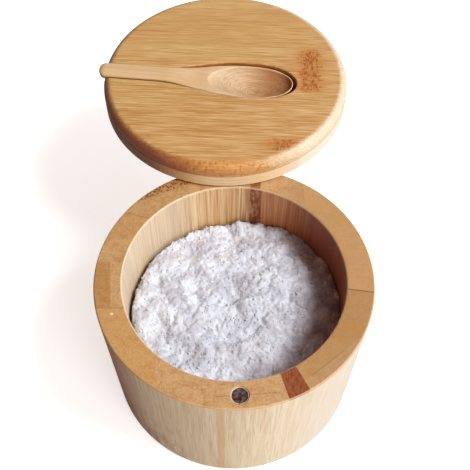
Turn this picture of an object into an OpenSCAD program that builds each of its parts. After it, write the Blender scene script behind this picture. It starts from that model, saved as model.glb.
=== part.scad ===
// Round bamboo salt box. A thick lid swings sideways on an upright pin in the back of the wall,
// and a small spoon lies in a pocket cut into the lid. Millimetres, +Z up, origin at the centre
// of the underside, pin towards +Y, closing magnets towards -Y. Drawn with the lid swung half a
// turn open, clear of the mouth.

/* [Box] */
// Outer diameter of the box at the rim
box_d = 90; // [80:1:110]
// Height of the box from the table to the rim
box_h = 60; // [45:1:80]
// Thickness of the wall at the rim
wall_t = 9; // [7:0.5:12]
// How much smaller the radius is at the foot than at the rim
foot_taper = 1.2; // [0:0.1:3]
// Radius of the rounding at the foot
foot_round = 3; // [1:0.5:5]
// Radius of the small rounding on the edges of the rim
rim_round = 0.6; // [0.3:0.1:1.5]

/* [Base] */
// Thickness of the glued-in base disc
base_t = 6; // [4:0.5:10]
// Radius of the base disc
base_r = 39; // [37.5:0.5:41]

/* [Contents] */
// Height of the salt surface at the wall, above the table
salt_edge_h = 40.5; // [15:0.5:50]
// How much higher the salt is in the middle
salt_heap = 2.8; // [0.5:0.1:6]

/* [Lid] */
// Thickness of each of the two glued layers of the lid
ply_t = 5; // [4:0.5:7]
// Radius of the round-over on the top edge of the lid
lid_round = 3.2; // [2:0.1:5]
// Gap between the rim and the lid
lid_gap = 0.4; // [0.3:0.05:1]

/* [Pivot] */
// Diameter of the pin the lid turns on
pin_d = 4; // [3:0.5:5]
// Depth of the pin in the wall of the box
pin_depth = 20; // [12:1:30]
// Radial play of the pin in its bush
pin_play = 0.04; // [0.02:0.01:0.08]
// Outer diameter of the bush
bush_d = 7; // [6:0.5:7.5]

/* [Magnets] */
// Diameter of each closing magnet
magnet_d = 5; // [4:0.5:6]
// Thickness of each closing magnet
magnet_t = 3; // [2:0.5:4]
// How far each magnet sits below its surface
magnet_sink = 0.3; // [0:0.1:0.6]

/* [Spoon] */
// Length of the spoon
spoon_l = 71.7; // [60:0.1:80]
// Length of the bowl
bowl_l = 31.2; // [24:0.1:36]
// Width of the bowl
bowl_w = 16.1; // [12:0.1:20]
// Width of the handle
handle_w = 6.6; // [5:0.1:8]
// Depth of the bowl's hollow
bowl_deep = 5.2; // [4:0.1:6]
// Angle of the spoon across the lid
spoon_turn = -8.2; // [-20:0.1:20]

/* [Hidden] */
e = 0.01;
r_out = box_d / 2;
r_in = r_out - wall_t;
r_foot = r_out - foot_taper;
r_pin = r_out - wall_t / 2;
lid_z = box_h + lid_gap;
glue_z = lid_z + ply_t;
lid_top = glue_z + ply_t;
lid_cy = 2 * r_pin;
hole_r = magnet_d / 2 + 0.2;
mag_y = lid_cy + r_pin;
head_z = glue_z - 1.4;
// spoon, along its own axis: x from the handle's end to the bowl, z 0 on the lid's top
bl = bowl_l / 2;
bw = bowl_w / 2;
hw = handle_w / 2;
tip = bl - spoon_l;
bowl_at = [9, lid_cy - 4.1, lid_top];
rim_dip = 0.15;
handle_top = 0.45;
handle_bottom = -3.2;
bowl_bottom = -7;
groove_floor = -3.5;
pocket_floor = -7.4;
n_sec = 36;
n_ring = 22;

function smooth(t) = let (c = min(1, max(0, t))) c * c * (3 - 2 * c);
function egg(u, l, w) = abs(u) >= l ? 0 : w * sqrt(1 - pow(abs(u) / l, 2.3));
function half_w(u) =
    u < tip + hw ? hw * pow(max(0, 1 - pow((tip + hw - u) / hw, 2.6)), 1 / 2.6)
    : u < 0 ? hw + (bw - hw) * smooth((u + 35) / 32)
    : egg(u, bl, bw);
function top_z(u) = handle_top * (1 - smooth((u + 34) / 16)) - rim_dip * smooth((u + 34) / 16);
function low_z(u) = handle_bottom + (bowl_bottom - handle_bottom) * smooth((u + 18) / 12);
// the underside rises towards both ends
function end_rise(u) =
    u > 0 ? sqrt(max(0, 1 - pow(u / bl, 2.6)))
    : u < tip + 1.8 ? sqrt(max(0, 1 - pow((tip + 1.8 - u) / 1.8, 2))) : 1;
// stations crowd together at the two ends, where the outline turns
function station(i) = let (t = i / n_sec) tip + e + (spoon_l - 2 * e) * (0.5 - 0.5 * cos(180 * t));
function ring(u) = [for (k = [0:n_ring - 1])
    let (a = 360 * k / n_ring, w = half_w(u), crown = 0.5 * (1 - smooth((u + 30) / 12)) * end_rise(u),
        zt = top_z(u), zl = zt + (low_z(u) - zt) * end_rise(u))
    [u, w * cos(a), sin(a) >= 0 ? zt + crown * sin(a) + (crown == 0 ? 0.02 : 0) * sin(a) : zt + (zt - zl) * sin(a)]];
// outline of the pocket: close along the handle, roomier round the bowl and most on the far side
function room(u) = smooth((u + 30) / 22);
function pocket_side(u, gap) = u < 0 ? half_w(max(u, tip + hw)) + gap * room(u) + 0.35
    : (bw + gap + 0.35) * sqrt(max(0.0004, 1 - pow(u / (bl + 1.3), 2.3)));
module pocket_outline(from) {
    us = [for (i = [0:32]) from + (bl + 1.3 - from) * sin(90 * i / 32)];
    polygon(concat(
        [for (u = us) [u, pocket_side(u, 1)]],
        [for (i = [32:-1:0]) [us[i], -pocket_side(us[i], 0.15)]]));
}
module at_spoon() translate(bowl_at) rotate([0, 0, spoon_turn]) children();
module lid_pocket() {
    at_spoon() {
        translate([0, 0, groove_floor]) linear_extrude(10) pocket_outline(tip - 4);
        translate([0, 0, pocket_floor]) linear_extrude(10) pocket_outline(-20);
    }
}

module box_wall() color([0.86, 0.73, 0.54]) difference() {
    rotate_extrude($fn = 96) difference() {
        union() {
            polygon([[r_in, 0], [r_foot - foot_round, 0], [r_foot, foot_round], [r_out, box_h - rim_round],
                [r_out - rim_round, box_h], [r_in + rim_round, box_h], [r_in, box_h - rim_round]]);
            intersection() {
                translate([r_foot - foot_round, foot_round]) circle(r = foot_round, $fn = 48);
                translate([r_foot - foot_round, 0]) square([foot_round, foot_round]);
            }
            intersection() {
                translate([r_out - rim_round, box_h - rim_round]) circle(r = rim_round, $fn = 32);
                translate([r_out - rim_round, box_h - rim_round]) square(rim_round);
            }
            intersection() {
                translate([r_in + rim_round, box_h - rim_round]) circle(r = rim_round, $fn = 32);
                translate([r_in, box_h - rim_round]) square(rim_round);
            }
        }
        square([base_r, base_t]);
    }
    translate([0, r_pin, box_h - pin_depth]) cylinder(r = pin_d / 2, h = pin_depth + 1, $fn = 48);
    translate([0, -r_pin, box_h - magnet_sink - magnet_t]) cylinder(r = hole_r, h = magnet_t + 1, $fn = 48);
}

module base_plate() color([0.84, 0.70, 0.50]) rotate_extrude($fn = 96)
    polygon([[0, 0], [base_r - 0.4, 0], [base_r, 0.4], [base_r, base_t], [0, base_t]]);

module salt() color([0.96, 0.96, 0.98]) {
    cap_r = (r_in * r_in + salt_heap * salt_heap) / (2 * salt_heap);
    rotate_extrude($fn = 96) intersection() {
        translate([0, salt_edge_h + salt_heap - cap_r]) circle(r = cap_r, $fn = 180);
        translate([0, base_t]) square([r_in, box_h]);
    }
}

module box_magnet() color([0.35, 0.34, 0.34]) translate([0, -r_pin, box_h - magnet_sink - magnet_t])
    cylinder(r = magnet_d / 2, h = magnet_t, $fn = 48);

module pivot_pin() color([0.75, 0.75, 0.76]) translate([0, r_pin, 0]) {
    translate([0, 0, box_h - pin_depth]) cylinder(r = pin_d / 2, h = head_z - box_h + pin_depth + 0.5, $fn = 48);
    translate([0, 0, head_z]) cylinder(r = bush_d / 2 - 0.4, h = 1.1, $fn = 48);
}

module pivot_bush() color([0.80, 0.66, 0.35]) translate([0, r_pin, 0]) difference() {
    union() {
        translate([0, 0, box_h + 0.05]) cylinder(r = bush_d / 2 + 0.8, h = lid_gap - 0.05, $fn = 48);
        translate([0, 0, box_h + 0.05]) cylinder(r = bush_d / 2, h = head_z - 0.1 - box_h - 0.05, $fn = 48);
    }
    translate([0, 0, box_h - 1]) cylinder(r = pin_d / 2 + pin_play, h = 10, $fn = 48);
}

module lid_bottom_ply() color([0.87, 0.73, 0.52]) difference() {
    translate([0, lid_cy, 0]) rotate_extrude($fn = 96)
        polygon([[0, lid_z], [r_out - 0.5, lid_z], [r_out, lid_z + 0.5], [r_out, glue_z], [0, glue_z]]);
    translate([0, r_pin, lid_z - 1]) cylinder(r = bush_d / 2, h = ply_t + 2, $fn = 48);
    translate([0, mag_y, lid_z - 1]) cylinder(r = hole_r, h = 1 + magnet_sink + magnet_t, $fn = 48);
    lid_pocket();
}

module lid_top_ply() color([0.82, 0.63, 0.38]) difference() {
    translate([0, lid_cy, 0]) rotate_extrude($fn = 96) union() {
        translate([0, glue_z]) square([r_out - lid_round, ply_t]);
        translate([0, glue_z]) square([r_out, ply_t - lid_round]);
        intersection() {
            translate([r_out - lid_round, lid_top - lid_round]) circle(r = lid_round, $fn = 64);
            translate([r_out - lid_round, lid_top - lid_round]) square([lid_round, lid_round]);
        }
    }
    lid_pocket();
}

module lid_magnet() color([0.35, 0.34, 0.34]) translate([0, mag_y, lid_z + magnet_sink])
    cylinder(r = magnet_d / 2, h = magnet_t, $fn = 48);

module spoon() color([0.86, 0.70, 0.46]) at_spoon() difference() {
    polyhedron(
        points = [for (i = [0:n_sec]) each ring(station(i))],
        faces = concat(
            [[for (k = [0:n_ring - 1]) k]],
            [for (i = [0:n_sec - 1]) for (k = [0:n_ring - 1]) let (m = (k + 1) % n_ring)
                [i * n_ring + k, (i + 1) * n_ring + k, (i + 1) * n_ring + m]],
            [for (i = [0:n_sec - 1]) for (k = [0:n_ring - 1]) let (m = (k + 1) % n_ring)
                [i * n_ring + k, (i + 1) * n_ring + m, i * n_ring + m]],
            [[for (k = [n_ring - 1:-1:0]) n_sec * n_ring + k]]),
        convexity = 4);
    translate([0, 0, 0.1]) scale([(bl - 0.7) / 10, (bw - 0.8) / 10, (bowl_deep + 0.1) / 10]) sphere(r = 10, $fn = 36);
}

box_wall();
base_plate();
salt();
box_magnet();
pivot_pin();
pivot_bush();
lid_bottom_ply();
lid_top_ply();
lid_magnet();
spoon();
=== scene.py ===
import math

import bmesh
import bpy
import numpy as np
from mathutils import Matrix, Vector


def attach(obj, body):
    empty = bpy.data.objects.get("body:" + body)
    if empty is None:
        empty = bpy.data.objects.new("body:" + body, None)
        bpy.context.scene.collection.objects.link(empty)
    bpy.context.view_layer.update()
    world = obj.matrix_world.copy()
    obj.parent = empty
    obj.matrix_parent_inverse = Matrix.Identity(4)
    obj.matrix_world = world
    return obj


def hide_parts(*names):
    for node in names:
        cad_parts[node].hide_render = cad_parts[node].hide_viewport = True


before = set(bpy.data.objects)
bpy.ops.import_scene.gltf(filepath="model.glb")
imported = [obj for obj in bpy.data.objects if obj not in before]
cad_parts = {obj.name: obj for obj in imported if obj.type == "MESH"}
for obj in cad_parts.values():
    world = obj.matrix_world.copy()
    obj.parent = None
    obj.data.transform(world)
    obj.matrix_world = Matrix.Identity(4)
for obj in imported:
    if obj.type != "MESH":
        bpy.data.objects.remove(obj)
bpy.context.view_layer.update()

MM = 0.001
SEGS = 256

# ---------------------------------------------------------------- dimensions, millimetres
R_OUT, R_IN, BOX_H = 45.0, 36.0, 60.0
R_FOOT, FOOT_ROUND, RIM_ROUND = 43.8, 3.0, 0.6
BASE_R, BASE_T = 39.0, 6.0
R_PIN = 40.5
LID_Z, GLUE_Z, LID_TOP = 60.4, 65.4, 70.4
LID_CY = 81.0
LID_ROUND = 3.2
SPOON_L, BL, BW, HW = 71.7, 15.6, 8.05, 3.3
TIP = BL - SPOON_L
BOWL_AT = (9.0, LID_CY - 4.1, LID_TOP)
SPOON_TURN = math.radians(-8.2)


# ---------------------------------------------------------------- mesh helpers
def make(name, verts, faces, smooth=True, scale=MM):
    me = bpy.data.meshes.new(name)
    me.from_pydata([tuple(c * scale for c in v) for v in verts], [], faces)
    me.validate()
    me.update()
    for p in me.polygons:
        p.use_smooth = smooth
    ob = bpy.data.objects.new(name, me)
    bpy.context.scene.collection.objects.link(ob)
    return ob


def lathe(name, profile, centre=(0.0, 0.0), segs=None, keep=False):
    """A closed solid turned about an upright axis. profile runs from the axis, or round a closed loop when keep is set."""
    segs = segs or SEGS
    verts, faces, rows = [], [], []
    for r, z in profile:
        if r < 1e-6:
            rows.append([len(verts)])
            verts.append((centre[0], centre[1], z))
        else:
            rows.append(list(range(len(verts), len(verts) + segs)))
            for i in range(segs):
                a = 2 * math.pi * i / segs
                verts.append((centre[0] + r * math.cos(a), centre[1] + r * math.sin(a), z))
    pairs = list(zip(rows, rows[1:]))
    if keep:
        pairs.append((rows[-1], rows[0]))
    for a, b in pairs:
        for i in range(segs):
            j = (i + 1) % segs
            if len(a) == 1 and len(b) == 1:
                break
            if len(a) == 1:
                faces.append((a[0], b[j], b[i]))
            elif len(b) == 1:
                faces.append((a[i], a[j], b[0]))
            else:
                faces.append((a[i], a[j], b[j], b[i]))
    ob = make(name, verts, faces)
    tidy(ob)
    return ob


def tidy(ob, dist=1e-7):
    bm = bmesh.new()
    bm.from_mesh(ob.data)
    bmesh.ops.remove_doubles(bm, verts=bm.verts, dist=dist)
    bmesh.ops.recalc_face_normals(bm, faces=bm.faces)
    bm.to_mesh(ob.data)
    bm.free()
    ob.data.update()


def arc(cx, cz, r, a0, a1, n):
    return [(cx + r * math.cos(math.radians(a0 + (a1 - a0) * i / n)),
             cz + r * math.sin(math.radians(a0 + (a1 - a0) * i / n))) for i in range(n + 1)]


def cut(ob, cutter):
    m = ob.modifiers.new("cut", "BOOLEAN")
    m.operation = "DIFFERENCE"
    m.solver = "EXACT"
    m.object = cutter
    apply_all(ob)


def apply_all(ob):
    bpy.context.view_layer.update()
    dg = bpy.context.evaluated_depsgraph_get()
    me = bpy.data.meshes.new_from_object(ob.evaluated_get(dg))
    old = ob.data
    ob.modifiers.clear()
    ob.data = me
    bpy.data.meshes.remove(old)


def drop(*obs):
    for o in obs:
        me = o.data
        bpy.data.objects.remove(o)
        bpy.data.meshes.remove(me)


def crisp(ob, angle=32):
    """Smooth shading with creases, flat faces kept flat."""
    me = ob.data
    for p in me.polygons:
        p.use_smooth = True
    bm = bmesh.new()
    bm.from_mesh(me)
    lim = math.radians(angle)
    for e in bm.edges:
        e.smooth = len(e.link_faces) == 2 and e.calc_face_angle(0.0) < lim
    bm.to_mesh(me)
    bm.free()
    m = ob.modifiers.new("normals", "WEIGHTED_NORMAL")
    m.mode = "FACE_AREA"
    m.weight = 60
    m.keep_sharp = True


def smooth(t):
    c = min(1.0, max(0.0, t))
    return c * c * (3 - 2 * c)


# ---------------------------------------------------------------- seeded noise on a lattice
class Lattice:
    def __init__(self, seed):
        self.t = np.random.default_rng(seed).random((256, 256))

    def __call__(self, x, y, cell):
        u, v = np.asarray(x) / cell + 512, np.asarray(y) / cell + 512
        i, j = np.floor(u).astype(int), np.floor(v).astype(int)
        fu, fv = u - i, v - j
        fu, fv = fu * fu * (3 - 2 * fu), fv * fv * (3 - 2 * fv)
        t = self.t
        a, b = t[i % 256, j % 256], t[(i + 1) % 256, j % 256]
        c, d = t[i % 256, (j + 1) % 256], t[(i + 1) % 256, (j + 1) % 256]
        return (a + (b - a) * fu) * (1 - fv) + (c + (d - c) * fu) * fv


class Clumps:
    """Rounded lumps on a jittered lattice: 1 at the middle of a lump, falling to the creases between lumps."""
    def __init__(self, seed):
        g = np.random.default_rng(seed)
        self.u, self.v, self.k = g.random((256, 256)), g.random((256, 256)), g.random((256, 256))

    def __call__(self, x, y, cell):
        u, v = np.asarray(x, float) / cell + 512, np.asarray(y, float) / cell + 512
        i, j = np.floor(u).astype(int), np.floor(v).astype(int)
        best = np.zeros(np.shape(u))
        for di in (-1, 0, 1):
            for dj in (-1, 0, 1):
                a, b = (i + di) % 256, (j + dj) % 256
                d2 = (i + di + self.u[a, b] - u) ** 2 + (j + dj + self.v[a, b] - v) ** 2
                best = np.maximum(best, (0.55 + 0.45 * self.k[a, b]) * (1 - d2 / 0.9))
        return best


# ---------------------------------------------------------------- shader helpers
def lin(r, g, b):
    return tuple(((c / 255) / 12.92 if c / 255 <= 0.04045 else ((c / 255 + 0.055) / 1.055) ** 2.4) for c in (r, g, b)) + (1.0,)


class Shader:
    def __init__(self, name, rough=0.5, coat=0.0, spec=0.5):
        self.mat = bpy.data.materials.new(name)
        self.mat.use_nodes = True
        self.t = self.mat.node_tree
        self.t.nodes.clear()
        self.out = self.t.nodes.new("ShaderNodeOutputMaterial")
        self.b = self.t.nodes.new("ShaderNodeBsdfPrincipled")
        self.t.links.new(self.b.outputs[0], self.out.inputs[0])
        self.b.inputs["Roughness"].default_value = rough
        self.b.inputs["Specular IOR Level"].default_value = spec
        if coat:
            self.b.inputs["Coat Weight"].default_value = coat
            self.b.inputs["Coat Roughness"].default_value = 0.35
        tc = self.t.nodes.new("ShaderNodeTexCoord")
        self.p = self.vec("MULTIPLY", tc.outputs["Object"], (1000, 1000, 1000))
        s = self.t.nodes.new("ShaderNodeSeparateXYZ")
        self.t.links.new(self.p, s.inputs[0])
        self.x, self.y, self.z = s.outputs

    def put(self, sock, v):
        if isinstance(v, bpy.types.NodeSocket):
            self.t.links.new(v, sock)
        else:
            sock.default_value = v

    def m(self, op, a, b=0.0, c=0.0, clamp=False):
        n = self.t.nodes.new("ShaderNodeMath")
        n.operation = op
        n.use_clamp = clamp
        self.put(n.inputs[0], a)
        self.put(n.inputs[1], b)
        self.put(n.inputs[2], c)
        return n.outputs[0]

    def vec(self, op, a, b):
        n = self.t.nodes.new("ShaderNodeVectorMath")
        n.operation = op
        self.put(n.inputs[0], a)
        self.put(n.inputs[1], b)
        return n.outputs[0]

    def xyz(self, x, y, z):
        n = self.t.nodes.new("ShaderNodeCombineXYZ")
        for s, v in zip(n.inputs, (x, y, z)):
            self.put(s, v)
        return n.outputs[0]

    def ramp(self, v, lo, hi, a=0.0, b=1.0, kind="SMOOTHSTEP"):
        n = self.t.nodes.new("ShaderNodeMapRange")
        n.interpolation_type = kind
        self.put(n.inputs[0], v)
        for s, w in zip(n.inputs[1:5], (lo, hi, a, b)):
            self.put(s, w)
        return n.outputs[0]

    def noise(self, v, scale=1.0, detail=2.0, rough=0.5, dist=0.0):
        n = self.t.nodes.new("ShaderNodeTexNoise")
        self.put(n.inputs["Vector"], v)
        n.inputs["Scale"].default_value = scale
        n.inputs["Detail"].default_value = detail
        n.inputs["Roughness"].default_value = rough
        n.inputs["Distortion"].default_value = dist
        return n.outputs[0]

    def cells(self, v, scale=1.0, feature="F1", out="Distance", rnd=1.0):
        n = self.t.nodes.new("ShaderNodeTexVoronoi")
        n.feature = feature
        self.put(n.inputs["Vector"], v)
        n.inputs["Scale"].default_value = scale
        n.inputs["Randomness"].default_value = rnd
        return n.outputs[out]

    def white(self, v):
        n = self.t.nodes.new("ShaderNodeTexWhiteNoise")
        n.noise_dimensions = "3D"
        self.put(n.inputs["Vector"], v)
        return n.outputs["Value"]

    def mix(self, f, a, b, mode="MIX"):
        n = self.t.nodes.new("ShaderNodeMix")
        n.data_type = "RGBA"
        n.blend_type = mode
        self.put(n.inputs[0], f)
        self.put(n.inputs[6], a)
        self.put(n.inputs[7], b)
        return n.outputs[2]

    def bump(self, h, dist, strength=1.0, normal=None):
        n = self.t.nodes.new("ShaderNodeBump")
        n.inputs["Strength"].default_value = strength
        n.inputs["Distance"].default_value = dist
        self.put(n.inputs["Height"], h)
        if normal is not None:
            self.t.links.new(normal, n.inputs["Normal"])
        return n.outputs[0]

    # masks in object millimetres
    def line(self, x0, y0, x1, y1, half=0.25, soft=0.3):
        """1 near the segment from (x0, y0) to (x1, y1) on the XY plane."""
        dx, dy = x1 - x0, y1 - y0
        ln = math.hypot(dx, dy)
        dx, dy = dx / ln, dy / ln
        px, py = self.m("SUBTRACT", self.x, x0), self.m("SUBTRACT", self.y, y0)
        along = self.m("ADD", self.m("MULTIPLY", px, dx), self.m("MULTIPLY", py, dy))
        side = self.m("ABSOLUTE", self.m("SUBTRACT", self.m("MULTIPLY", px, -dy), self.m("MULTIPLY", py, -dx)))
        near = self.ramp(side, half, half + soft, 1.0, 0.0)
        a = self.ramp(along, -0.3, 0.3)
        b = self.ramp(along, ln - 0.3, ln + 0.3, 1.0, 0.0)
        return self.m("MULTIPLY", near, self.m("MULTIPLY", a, b))

    def side(self, x0, y0, x1, y1, soft=0.15):
        """1 on the left of the line from (x0, y0) to (x1, y1), seen from above."""
        dx, dy = x1 - x0, y1 - y0
        ln = math.hypot(dx, dy)
        v = self.m("ADD", self.m("MULTIPLY", self.m("SUBTRACT", self.x, x0), -dy / ln),
                   self.m("MULTIPLY", self.m("SUBTRACT", self.y, y0), dx / ln))
        return self.ramp(v, -soft, soft)

    def box(self, v, lo, hi, soft):
        return self.m("MULTIPLY", self.ramp(v, lo - soft, lo + soft), self.ramp(v, hi - soft, hi + soft, 1.0, 0.0))

    def mul(self, *v):
        r = v[0]
        for w in v[1:]:
            r = self.m("MULTIPLY", r, w)
        return r

    def finish(self, color, rough, normal):
        self.put(self.b.inputs["Base Color"], color)
        self.put(self.b.inputs["Roughness"], rough)
        self.t.links.new(normal, self.b.inputs["Normal"])
        return self.mat


def grain(s, along, a, b, seed, wander=0.25):
    """Fibre pattern shared by every bamboo piece: long along one axis, fine across. Returns 0..1 values."""
    wob = s.noise(s.xyz(s.m("MULTIPLY", along, 0.03), s.m("MULTIPLY", a, 0.08), s.m("MULTIPLY", b, 0.08)), 1.0, 1.0)
    shift = s.m("MULTIPLY", s.m("SUBTRACT", wob, 0.5), wander * 10)
    a2 = s.m("ADD", a, shift)
    broad = s.noise(s.xyz(s.m("MULTIPLY_ADD", along, 0.010, seed), s.m("MULTIPLY", a2, 0.16), s.m("MULTIPLY", b, 0.16)), 1.0, 2.0)
    mid = s.noise(s.xyz(s.m("MULTIPLY_ADD", along, 0.022, seed), s.m("MULTIPLY", a2, 1.35), s.m("MULTIPLY", b, 1.35)), 1.0, 3.0, 0.6)
    fine = s.noise(s.xyz(s.m("MULTIPLY_ADD", along, 0.045, seed), s.m("MULTIPLY", a2, 4.6), s.m("MULTIPLY", b, 4.6)), 1.0, 2.0, 0.6)
    bundle = s.cells(s.xyz(s.m("MULTIPLY_ADD", along, 0.040, seed), s.m("MULTIPLY", a2, 2.1), s.m("MULTIPLY", b, 2.1)), 1.0)
    dots = s.ramp(bundle, 0.12, 0.36, 1.0, 0.0)
    return broad, mid, fine, dots


# ---------------------------------------------------------------- materials
def lid_top_material():
    s = Shader("bamboo_lid", spec=0.4, coat=0.25)
    s.b.inputs["Sheen Weight"].default_value = 0.25
    # the grain runs across the lid, a little off the X axis
    t = math.radians(-5.0)
    ry = s.m("SUBTRACT", s.y, LID_CY)
    gx = s.m("ADD", s.m("MULTIPLY", s.x, math.cos(t)), s.m("MULTIPLY", ry, math.sin(t)))
    gy = s.m("SUBTRACT", s.m("MULTIPLY", ry, math.cos(t)), s.m("MULTIPLY", s.x, math.sin(t)))
    broad, mid, fine, dots = grain(s, gx, gy, s.z, 3.7, wander=0.12)
    c = s.mix(s.ramp(mid, 0.30, 0.70), lin(174, 124, 68), lin(198, 153, 96))
    # yellower towards the back left, warmer towards the front
    c = s.mix(s.mul(s.ramp(s.m("SUBTRACT", gy, s.m("MULTIPLY", gx, 0.5)), -26.0, 24.0), 0.70), c, lin(200, 167, 106))
    c = s.mix(s.ramp(broad, 0.38, 0.62, 0.0, 0.5), c, lin(192, 146, 92))
    dash = s.cells(s.xyz(s.m("MULTIPLY_ADD", gx, 0.10, 1.7), s.m("MULTIPLY", gy, 2.2), s.m("MULTIPLY", s.z, 2.2)), 1.0)
    quiet = s.ramp(s.m("SUBTRACT", gy, s.m("MULTIPLY", gx, 0.3)), -16.0, 22.0, 1.0, 0.45)
    c = s.mix(s.mul(s.ramp(dash, 0.12, 0.46, 0.72, 0.0), quiet), c, lin(148, 96, 48))
    pale = s.noise(s.xyz(s.m("MULTIPLY_ADD", gx, 0.09, 9.0), s.m("MULTIPLY", gy, 2.1), s.m("MULTIPLY", s.z, 2.1)), 1.0, 2.0, 0.6)
    c = s.mix(s.ramp(pale, 0.48, 0.64, 0.0, 0.62), c, lin(226, 193, 144))
    c = s.mix(s.mul(dots, 0.30), c, lin(150, 98, 52))
    c = s.mix(s.ramp(fine, 0.42, 0.66, 0.0, 0.50), c, lin(222, 188, 138))
    c = s.mix(s.ramp(fine, 0.30, 0.48, 0.50, 0.0), c, lin(158, 108, 58))
    # boards of the layer: a faint change of tone from one to the next
    row = s.m("FLOOR", s.m("DIVIDE", s.m("ADD", gy, 29.8), 22.0))
    tone = s.white(s.xyz(row, 3.0, 0.0))
    c = s.mix(s.ramp(tone, 0.0, 1.0, 0.0, 0.25, "LINEAR"), c, lin(180, 124, 62))
    # long darker streaks
    streak = s.noise(s.xyz(s.m("MULTIPLY", gx, 0.018), s.m("MULTIPLY", gy, 0.75), s.m("MULTIPLY", s.z, 0.75)), 1.0, 2.0, 0.5)
    c = s.mix(s.ramp(streak, 0.56, 0.70, 0.0, 0.45), c, lin(168, 114, 58))
    # node marks: ragged brown strokes across one board
    stroke = s.noise(s.xyz(s.m("MULTIPLY", gx, 1.05), s.m("MULTIPLY", gy, 0.50), s.m("MULTIPLY", s.z, 0.6)), 1.0, 4.0, 0.72, 0.5)
    speck = s.cells(s.xyz(s.m("MULTIPLY", gx, 1.5), s.m("MULTIPLY", gy, 1.1), s.m("MULTIPLY", s.z, 0.9)), 1.0)
    rag_x = s.m("MULTIPLY", s.m("SUBTRACT", s.noise(s.xyz(s.m("MULTIPLY", gx, 0.12), s.m("MULTIPLY", gy, 1.1), 4.0), 1.0, 3.0, 0.7), 0.5), 13.0)
    rag_y = s.m("MULTIPLY", s.m("SUBTRACT", s.noise(s.xyz(s.m("MULTIPLY", gx, 1.2), s.m("MULTIPLY", gy, 0.1), 9.0), 1.0, 2.0, 0.6), 0.5), 2.5)
    ex, ey = s.m("ADD", gx, rag_x), s.m("ADD", gy, rag_y)
    for x0, x1, y0, y1, deep in ((28.2, 34.4, -7.8, 13.9, 1.0), (17.4, 25.5, -36.0, -30.8, 0.75)):
        band = s.mul(s.box(ex, x0, x1, 2.0), s.box(ey, y0, y1, 0.9))
        halo = s.mul(s.box(ex, x0 - 2.5, x1 + 2.5, 3.0), s.box(ey, y0 - 0.3, y1 + 0.3, 1.0))
        c = s.mix(s.mul(halo, 0.45 * deep), c, lin(192, 128, 62))
        c = s.mix(s.mul(band, 0.35 * deep), c, lin(180, 108, 50))
        c = s.mix(s.mul(band, s.ramp(speck, 0.16, 0.55, 1.0, 0.0), 0.60 * deep), c, lin(152, 84, 40))
        c = s.mix(s.mul(band, s.ramp(stroke, 0.47, 0.57), 0.85 * deep), c, lin(142, 74, 27))
    # warmer band with short strokes on the front of the round-over
    strokes = s.noise(s.xyz(s.m("MULTIPLY", gx, 1.0), s.m("MULTIPLY", gy, 0.5), s.m("MULTIPLY", s.z, 0.5)), 1.0, 3.0, 0.6)
    front = s.mul(s.ramp(gy, -42.4, -40.6, 1.0, 0.0), s.box(gx, -26.0, 20.0, 6.0))
    c = s.mix(s.mul(front, 0.45), c, lin(204, 138, 66))
    c = s.mix(s.mul(front, s.ramp(strokes, 0.50, 0.66), 0.65), c, lin(172, 92, 34))
    # painted highlight on the right side of the round-over: pale cream with whitish speckle where it cuts across the
    # fibres; painted shade, dark red-brown, on its left side
    lr = s.m("SQRT", s.m("ADD", s.m("MULTIPLY", s.x, s.x), s.m("MULTIPLY", ry, ry)))
    edge = s.ramp(lr, 41.4, 43.4)
    ends = s.noise(s.xyz(s.x, s.y, s.z), 1.9, 3.0, 0.7)
    # painted highlight: the lit right side of the round-over mixed toward pale cream
    right = s.mul(edge, s.ramp(s.x, 10.0, 30.0))
    c = s.mix(s.mul(right, 0.75), c, lin(214, 198, 172))
    c = s.mix(s.mul(right, s.ramp(ends, 0.50, 0.62), 0.50), c, lin(244, 232, 210))
    # painted shade: the left side of the round-over, away from the light, darkened red-brown
    left = s.mul(s.ramp(lr, 42.2, 44.0), s.ramp(s.x, -2.0, -28.0))
    c = s.mix(s.mul(left, s.ramp(ends, 0.3, 0.7, 0.66, 0.86)), c, lin(134, 72, 50))
    # a warm orange band round the top of the pocket's wall: freshly cut fibres, with a painted highlight of the lit
    # edge
    pocket = s.mul(s.ramp(s.z, LID_TOP - 0.45, LID_TOP - 0.10, 1.0, 0.0), s.ramp(lr, 38.0, 40.0, 1.0, 0.0))
    c = s.mix(s.mul(pocket, 0.50), c, lin(196, 112, 60))
    rough = s.ramp(fine, 0.3, 0.7, 0.42, 0.60)
    h = s.m("ADD", s.m("MULTIPLY", mid, 0.6), s.m("ADD", s.m("MULTIPLY", fine, 0.5), s.m("MULTIPLY", dots, -0.5)))
    return s.finish(c, rough, s.bump(h, 0.00004, 0.5))


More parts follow.
